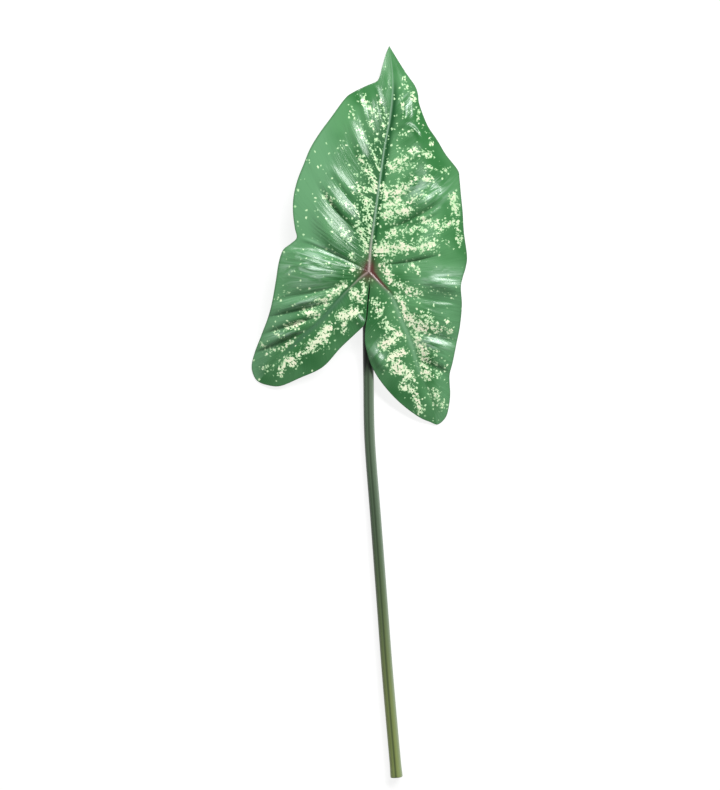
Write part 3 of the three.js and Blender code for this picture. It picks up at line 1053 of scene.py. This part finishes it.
        # Painted shade in the creases over the side veins, as deep as the swelling beside them
        crease_shade = bell(row.between * (1.0 - row.between) / 0.05) * min(row.swelling, 1.0)
        calm_margin = ease(share, 0.6, 0.85) * (1.0 - 0.7 * ease(station, *self.ebb_delays))
        calm_tip = 1.0 - ease(station, 0.08, 0.2)
        specks = 0.15 - 0.1 * ease(share, 0.6, 1.0) + 0.5 * crowd + 0.16 * bell(spot.gap / 14.0)
        lobe_gain = 1.0 if on_midrib else self.lobe_fleck_gains[right]
        return {
            "crease_shade": crease_shade * self.spread(spot),
            "rib": 0.85 * vein,
            "pink": bell(plan.length / 26.0),
            "band": 0.0 if right else band,
            "bright_band": 0.6 * band if right else 0.0,
            "shade": shade,
            "red": self.redness(spot),
            # Painted shade along the margin
            "rim_shade": ease(spot.gap, row.width - self.rim_shade_width, row.width),
            "pale": self.paleness(spot),
            "calm": max(calm_margin, calm_tip, shade),
            # Painted sheen, kept off the veins
            "painted_sheen": self.painted_sheen(plan) * clear,
            # Flecks painted dimmer in the upper half, as painted shade
            "painted_fleck_shade": 1.0 - ease(station, 0.8, 1.2),
            "streaky": bell(spot.gap / 17.0) if on_midrib and not right else 0.0,
            "fleck": crowd * clear * self.fleck_gains[right] * lobe_gain,
            "speck": specks * clear * ease(station, 0.03, 0.14),
        }

    def painted_sheen(self, plan: Vector) -> float:
        """Return how strong the painted sheen, and the wisp bump with it, is at a plan point."""
        return max(
            strength * bell(math.hypot((plan.x - x) / half_width, (plan.y - y) / half_height))
            for x, y, half_width, half_height, strength in PAINTED_SHEEN_SPOTS
        )

    def crowd(self, plan: Vector) -> float:
        """Return how thickly the flecks crowd, from the strokes near by.

        Args:
            plan: A plan point.

        Returns:
            A number from 0 to 1.
        """
        crowd = 0.0
        for x0, y0, x1, y1, half_width, strength in FLECK_STROKES:
            start, run = Vector((x0, y0)), Vector((x1 - x0, y1 - y0))
            part = min(max((plan - start).dot(run) / run.length_squared, 0.0), 1.0)
            gap = (plan - start - run * part).length
            if gap < self.stroke_reach * half_width:
                crowd = max(crowd, strength * bell(gap / (self.stroke_softness * half_width)))
        return crowd

    def shape_half(self, bm: Mesh, half: BladeHalf, layers: Layers) -> None:
        """Add one half's upper face as a grid, bent into the strip between its main veins and its margin.

        Args:
            bm: The blade's mesh.
            half: The half to add.
            layers: The mesh's number layers by name.
        """
        rows = self.rows(half)
        made = bmesh.ops.create_grid(bm, x_segments=len(rows) - 1, y_segments=self.columns, size=1.0)
        flow = bm.loops.layers.uv[self.FLOW]
        for vert in made["verts"]:
            row = rows[round((vert.co.x + 1.0) / 2.0 * (len(rows) - 1))]
            spot = self.spot_at(row, max((vert.co.y + 1.0) / 2.0, 0.0) ** self.column_crowding)
            for loop in vert.link_loops:
                loop[flow].uv = Vector((row.flow + half.side.value * self.flow_apart, spot.gap)) * MM
            vert[layers["drop"]] = self.drop(spot) * MM
            for name, strength in self.markings(spot).items():
                vert[layers[name]] = strength
            vert.co = Vector((*(spot.plan + self.shift), self.top(spot))) * MM

    def thicken(self, bm: Mesh, layers: Layers) -> None:
        """Close the upper face into a solid blade with ribs below and a rounded margin.

        Args:
            bm: The blade's mesh, with its upper face.
            layers: The mesh's number layers by name.
        """
        under = layers["under"]
        sheet = [*bm.verts, *bm.edges, *bm.faces]
        made = bmesh.ops.extrude_face_region(bm, geom=sheet, use_keep_orig=True)["geom"]
        for vert in (item for item in made if isinstance(item, bmesh.types.BMVert)):
            vert.co.z -= vert[layers["drop"]]
            vert[under] = 1.0
        bmesh.ops.recalc_face_normals(bm, faces=bm.faces[:])
        walls = [face for face in bm.faces if len({vert[under] for vert in face.verts}) > 1]
        edges = dict.fromkeys(edge for face in walls for edge in face.edges)
        rims = [edge for edge in edges if edge.verts[0][under] == edge.verts[1][under]]
        bevel(bm, rims, self.edge_round, 2)

    def build(self) -> bpy.types.Object:
        """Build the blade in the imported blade's place.

        Returns:
            The blade as a new object.
        """
        bm, layers = started_mesh(self.FLOW, self.LAYERS)
        for half in self.halves:
            self.shape_half(bm, half, layers)
        bmesh.ops.remove_doubles(bm, verts=bm.verts[:], dist=MERGE * MM)
        self.thicken(bm, layers)
        return finished_object("blade", bm)

    def dress(self, piece: bpy.types.Object) -> None:
        """Give the blade its finish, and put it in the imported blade's stead.

        Args:
            piece: The blade's object.
        """
        piece.data.materials.append(self.finish.material())
        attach(piece, BODY)
        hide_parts("leaf_blade")


@dataclass(frozen=True)
class StalkGreen:
    """The stalk's finish: a painted shadow at the neck, dark grey-green by the blade, turning olive towards the
    cut, with fine fibres.
    """

    # Nearly black painted shadow where the blade overhangs the neck
    painted_neck_shadow: Colour = (10, 15, 12)
    top: Colour = (72, 92, 70)
    middle: Colour = (66, 86, 60)
    foot: Colour = (122, 136, 76)
    groove: Colour = (44, 60, 40)
    # Painted highlight along the stalk's right side, where the light falls
    painted_highlight: Colour = (140, 156, 138)
    pith: Colour = (196, 204, 150)
    painted_neck_shadow_ends: Point = (0.195, 0.225)
    middle_comes: Point = (0.25, 0.62)
    foot_comes: Point = (0.5, 1.0)
    fibres: Point = (0.5, 60.0)
    fibre_depth: float = 0.2
    roughness: float = 0.42

    def material(self) -> bpy.types.Material:
        """Make the stalk's material.

        Returns:
            The material, which reads the stalk's attributes and flow map.
        """
        pad = NodePad("stalk_green")
        flow = pad.add("UVMap", uv_map=Stalk.FLOW).outputs[0]
        fibre = pad.noise(pad.stretched(flow, *self.fibres), 3.0, 0.6)
        along = pad.value("along")
        # Nearly black painted shadow at the neck, under the blade
        colour = pad.mix(pad.span(along, *self.painted_neck_shadow_ends), self.painted_neck_shadow, self.top)
        colour = pad.mix(pad.span(along, *self.middle_comes), colour, self.middle)
        colour = pad.mix(pad.span(along, *self.foot_comes), colour, self.foot)
        colour = pad.mix(pad.span(fibre, 0.45, 0.75, 0.0, 0.35), colour, self.groove)
        colour = pad.paint(colour, "groove", self.groove, 0.7)
        # Painted highlight along the stalk's right side
        colour = pad.paint(colour, "painted_highlight", self.painted_highlight, 0.45)
        colour = pad.paint(colour, "cut", self.pith)
        normal = pad.bump(fibre, 0.5, self.fibre_depth)
        return pad.finish(Base_Color=colour, Roughness=self.roughness, Normal=normal)


@dataclass
class Stalk:
    """The cut stalk: a grooved rod that lies on the surface and climbs to the underside of the blade."""

    FLOW = "stalk_flow"
    LAYERS = ("along", "groove", "painted_highlight", "cut")

    blade: LeafBlade
    plan: SmoothCurve = SmoothCurve((
        (0, 7), (-0.5, -22), (-0.5, -55), (0, -88), (1, -137.5), (6, -203), (11, -269), (16, -334.5), (23, -413.5),
    ))
    heading_step: float = 0.002
    radius_top: float = 4.2
    radius_foot: float = 4.7
    tip_radius: float = 1.5
    tip_length: float = 24.0
    flare: float = 0.3
    flare_length: float = 12.0
    cut_bevel: float = 0.7
    cut_rings: tuple[Point, ...] = ((0.35, -0.25), (1.0, 0.05), (1.2, 0.0))
    climb: Point = (-104.0, -6.0)
    sink: float = 0.4
    flat_angle: float = math.pi / 24.0
    groove_depth: float = 0.55
    groove_angle: float = 0.17
    groove_half_angle: float = 0.2
    painted_highlight_angle: float = 1.15
    painted_highlight_half_angle: float = 0.5
    painted_highlight_comes: Point = (0.2, 0.24)
    sides: int = 72
    steps: int = 240
    finish: StalkGreen = field(default_factory=StalkGreen)

    @property
    def length(self) -> float:
        """The stalk's length along its plan, in millimetres."""
        return self.plan.lengths[-1]

    def radius(self, along: float) -> float:
        """Return the stalk's radius before the groove.

        Args:
            along: Distance from the blade end, in millimetres.

        Returns:
            The radius, in millimetres.
        """
        body = blend(self.radius_top, self.radius_foot, along / self.length)
        flare = self.flare * ease(along, self.length - self.flare_length, self.length)
        return blend(self.tip_radius, body, ease(along, 0.0, self.tip_length)) + flare

    def wrap(self, bm: Mesh, layers: Layers) -> None:
        """Add a grid and roll it round the stalk's line.

        Args:
            bm: The stalk's mesh.
            layers: The mesh's number layers by name.
        """
        made = bmesh.ops.create_grid(bm, x_segments=self.sides, y_segments=self.steps, size=1.0)
        seat = self.blade.junction_height - self.blade.thickness - self.blade.main_rib_depth + self.sink
        step, flow = self.heading_step, bm.loops.layers.uv[self.FLOW]
        for vert in made["verts"]:
            angle = math.pi * vert.co.x
            share = (vert.co.y + 1.0) / 2.0
            along = share * self.length
            centre = self.plan.along(share)
            ahead = (self.plan.along(share + step) - self.plan.along(share - step)).normalized()
            radius = self.radius(along)
            floor = radius * math.cos(self.flat_angle)
            height = blend(floor, seat - radius, ease(centre.y, *self.climb))
            groove = bell((angle + self.groove_angle) / self.groove_half_angle) * ease(along, 0.0, self.tip_length)
            # Painted highlight along the stalk's right side
            painted_highlight = bell((angle - self.painted_highlight_angle) / self.painted_highlight_half_angle) * ease(share, *self.painted_highlight_comes)
            reach = radius - self.groove_depth * groove
            side = reach * math.sin(angle)
            up = max(reach * math.cos(angle), -floor)
            for loop in vert.link_loops:
                loop[flow].uv = Vector((angle * radius, along)) * MM
            for name, strength in (("along", share), ("groove", groove), ("painted_highlight", painted_highlight)):
                vert[layers[name]] = strength
            spot = centre + Vector((-ahead.y, ahead.x)) * side + self.blade.shift
            vert.co = Vector((*spot, height + up)) * MM

    def close(self, bm: Mesh, layers: Layers) -> None:
        """Join the seam, and close the ends with a rounded, slightly sunken cut.

        Args:
            bm: The stalk's mesh.
            layers: The mesh's number layers by name.
        """
        bmesh.ops.remove_doubles(bm, verts=bm.verts[:], dist=MERGE * MM)
        open_edges = [edge for edge in bm.edges if edge.is_boundary]
        caps = bmesh.ops.holes_fill(bm, edges=open_edges, sides=0)["faces"]
        cut = min(caps, key=lambda face: face.calc_center_median().y)
        bmesh.ops.recalc_face_normals(bm, faces=bm.faces[:])
        bevel(bm, cut.edges[:], self.cut_bevel, 4)
        cut = min(bm.faces, key=lambda face: face.calc_center_median().y)
        for inset, depth in self.cut_rings:
            bmesh.ops.inset_individual(bm, faces=[cut], thickness=inset * MM, depth=depth * MM)
            for vert in cut.verts:
                vert[layers["cut"]] = 1.0

    def build(self) -> bpy.types.Object:
        """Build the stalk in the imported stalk's place.

        Returns:
            The stalk as a new object.
        """
        bm, layers = started_mesh(self.FLOW, self.LAYERS)
        self.wrap(bm, layers)
        self.close(bm, layers)
        return finished_object("stem", bm)

    def dress(self, piece: bpy.types.Object) -> None:
        """Give the stalk its finish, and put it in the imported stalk's stead.

        Args:
            piece: The stalk's object.
        """
        piece.data.materials.append(self.finish.material())
        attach(piece, BODY)
        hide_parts("stalk")


@dataclass(frozen=True)
class SoftBox:
    """A studio light, turned to the junction of the leaf's veins. Places and sides are metres."""

    name: str
    place: tuple[float, float, float]
    sides: Point
    power: float


@dataclass
class Studio:
    """The pale floor, the soft lights and the camera straight above."""

    look_at: Point = (-7.0, -100.3)
    frame_height: float = 649.3
    lens: float = 100.0
    sensor: float = 36.0
    floor_half: float = 6.0
    floor_drop: float = 0.3
    floor_grey: float = 0.2
    floor_glow: float = 0.84
    sky: float = 0.24
    boxes: tuple[SoftBox, ...] = (
        SoftBox("key", (1.15, 1.06, 1.56), (0.8, 0.6), 42.0),
        SoftBox("top", (0.45, 1.55, 1.5), (0.8, 0.5), 36.0),
        SoftBox("fill", (-1.2, 0.4, 1.1), (1.2, 1.2), 2.5),
    )

    def floor(self) -> bpy.types.Object:
        """Lay a wide, pale floor just under the leaf.

        Returns:
            The floor's object.
        """
        bm = bmesh.new()
        bmesh.ops.create_grid(bm, x_segments=1, y_segments=1, size=self.floor_half)
        bmesh.ops.translate(bm, verts=bm.verts[:], vec=(0.0, 0.0, -self.floor_drop * MM))
        floor = finished_object("floor", bm)
        grey = (self.floor_grey, self.floor_grey, self.floor_grey, 1.0)
        floor.data.materials.append(NodePad("pale_floor").finish(
            Base_Color=grey, Roughness=1.0, Specular_IOR_Level=0.0, Emission_Color=WHITE,
            Emission_Strength=self.floor_glow,
        ))
        return floor

    def lights(self, target: Vector) -> None:
        """Add the soft boxes and an even pale sky.

        Args:
            target: The point that the boxes face, in metres.
        """
        for box in self.boxes:
            lamp = bpy.data.lights.new(box.name, "AREA")
            lamp.shape = "RECTANGLE"
            lamp.size, lamp.size_y = box.sides
            lamp.energy = box.power
            light = bpy.data.objects.new(box.name, lamp)
            light.location = target + Vector(box.place)
            light.rotation_euler = (-Vector(box.place)).to_track_quat("-Z", "Y").to_euler()
            bpy.context.scene.collection.objects.link(light)
        world = bpy.data.worlds.new("sky")
        world.use_nodes = True
        background = world.node_tree.nodes["Background"]
        background.inputs["Strength"].default_value = self.sky
        background.inputs["Color"].default_value = WHITE
        bpy.context.scene.world = world
        bpy.context.scene.view_settings.view_transform = "Standard"

    def camera(self, shift: Vector) -> bpy.types.Object:
        """Return a camera that looks straight down, with the tip at the top of the picture.

        Args:
            shift: From plan millimetres to the part's frame.

        Returns:
            The camera, set as the scene's own.
        """
        data = bpy.data.cameras.new("camera")
        data.lens = self.lens
        data.sensor_width = self.sensor
        camera = bpy.data.objects.new("camera", data)
        distance = self.frame_height * self.lens / self.sensor
        camera.location = Vector((*(Vector(self.look_at) + shift), distance)) * MM
        bpy.context.scene.collection.objects.link(camera)
        bpy.context.scene.camera = camera
        return camera


def write_sizes() -> None:
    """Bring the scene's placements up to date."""
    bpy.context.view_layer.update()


def main() -> None:
    """Build the leaf and its studio, piece by piece."""
    logging.basicConfig(level=logging.INFO, format="%(name)s: %(message)s")
    blade = LeafBlade()
    stalk = Stalk(blade)
    for part in (blade, stalk):
        piece = part.build()
        part.dress(piece)
        LOG.info("%s has %d faces", piece.name, len(piece.data.polygons))
    studio = Studio()
    studio.camera(blade.shift)
    studio.floor()
    studio.lights(Vector((*blade.shift, 0.0)) * MM)
    write_sizes()


if __name__ == "__main__":
    main()
